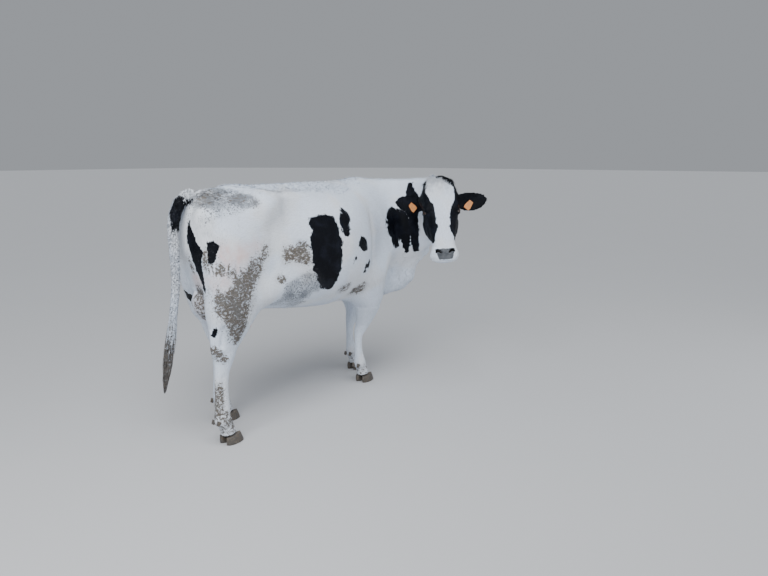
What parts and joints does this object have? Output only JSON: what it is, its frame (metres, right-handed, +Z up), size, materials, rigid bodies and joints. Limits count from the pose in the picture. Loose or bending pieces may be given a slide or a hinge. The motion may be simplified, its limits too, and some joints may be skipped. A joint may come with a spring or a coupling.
{
  "type": "cow",
  "caption": "Adult black and white polled dairy cow, life size, standing with its neck and head turned to its right and plain orange ear tags.",
  "frame": {"origin": "middle of the model's footprint box, on the floor under the soles", "axes": "+X towards the chest end of the trunk, +Y to the cow's left, +Z up"},
  "size_m": [2.102, 1.2836, 1.5072],
  "materials": {
    "coat_white": "short flat white hair, soiled in places",
    "coat_black": "short flat black hair",
    "udder_skin": "fine haired pinkish skin",
    "horn": "dull dark horn of the claws",
    "eye": "wet dark brown eye",
    "tag": "bare orange ear tag, slightly soiled"
  },
  "bodies": {
    "root": {"trunk": "coat_white", "neck": "coat_white", "thigh_right": "coat_white", "thigh_left": "coat_white", "forearm_right": "coat_white", "forearm_left": "coat_white", "eye_right": "eye", "ear_right": "coat_black", "tag_right": "tag", "eye_left": "eye", "ear_left": "coat_black", "tag_left": "tag", "head": "coat_white", "hindleg_right": "coat_white", "claw_outer_hindleg_right": "horn", "dewclaw_outer_hindleg_right": "horn", "claw_inner_hindleg_right": "horn", "dewclaw_inner_hindleg_right": "horn", "hindleg_left": "coat_white", "claw_inner_hindleg_left": "horn", "dewclaw_inner_hindleg_left": "horn", "claw_outer_hindleg_left": "horn", "dewclaw_outer_hindleg_left": "horn", "foreleg_right": "coat_white", "claw_outer_foreleg_right": "horn", "dewclaw_outer_foreleg_right": "horn", "claw_inner_foreleg_right": "horn", "dewclaw_inner_foreleg_right": "horn", "foreleg_left": "coat_white", "claw_inner_foreleg_left": "horn", "dewclaw_inner_foreleg_left": "horn", "claw_outer_foreleg_left": "horn", "dewclaw_outer_foreleg_left": "horn", "tail": "coat_white", "udder": "udder_skin"}
  },
  "joints": []
}
